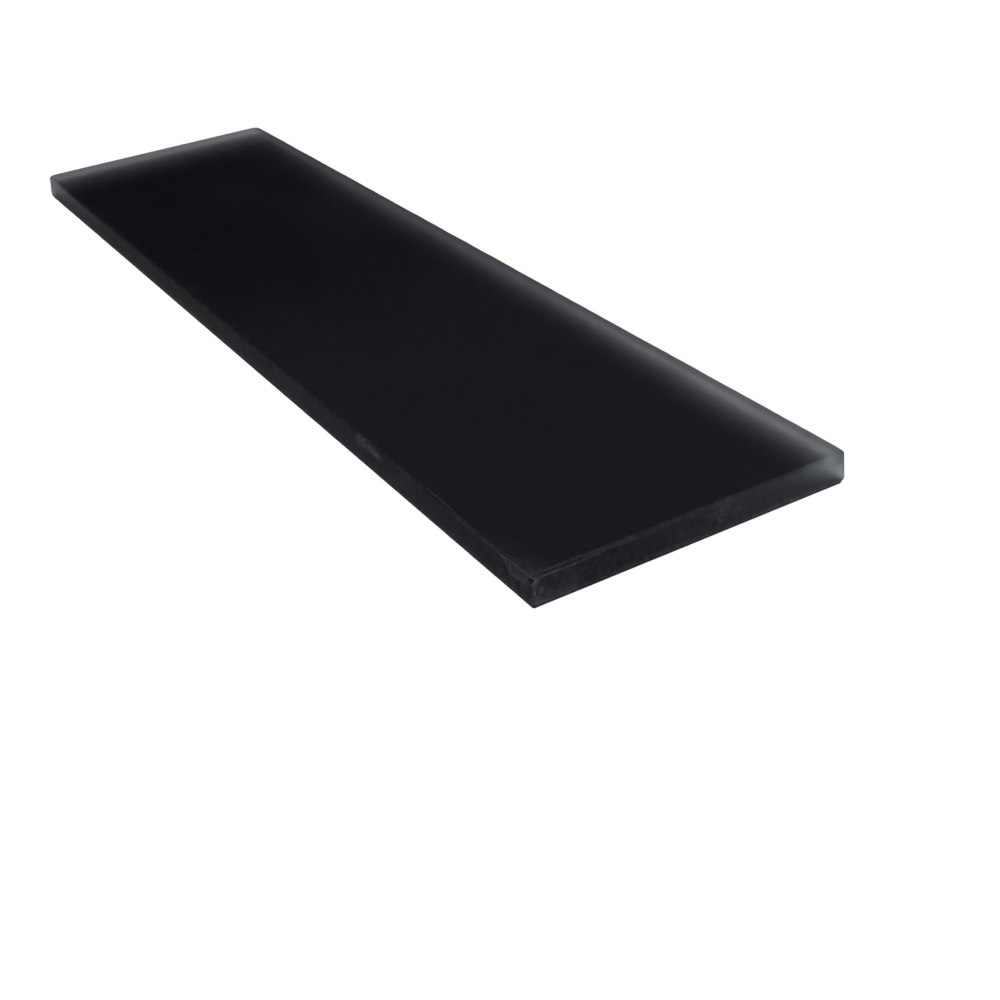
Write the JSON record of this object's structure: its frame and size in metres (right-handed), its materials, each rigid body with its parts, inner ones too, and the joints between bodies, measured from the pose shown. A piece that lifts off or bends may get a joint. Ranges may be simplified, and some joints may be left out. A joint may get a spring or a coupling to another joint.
{
  "type": "frosted glass kick plate",
  "caption": "Flat rectangular plate of frosted clear glass, painted black on its back, bonded flat to a door foot or a wall as a wipe-clean face.",
  "frame": {"origin": "centre of the underside of the protective back coat, the face that is bonded to the door or wall", "axes": "+X along the 300 mm length, +Y across the 75 mm width, +Z out of the frosted face"},
  "size_m": [0.3, 0.075, 0.0071],
  "materials": {
    "frosted_glass": "acid-etched satin face, ground edges, faint cool tint",
    "black_enamel": "opaque black paint, satin on its underside",
    "protective_coat": "matt grey sealing coat with a fine gritty key"
  },
  "bodies": {
    "root": {"glass_plate": "frosted_glass", "black_enamel_coat": "black_enamel", "protective_back_coat": "protective_coat"}
  },
  "joints": []
}
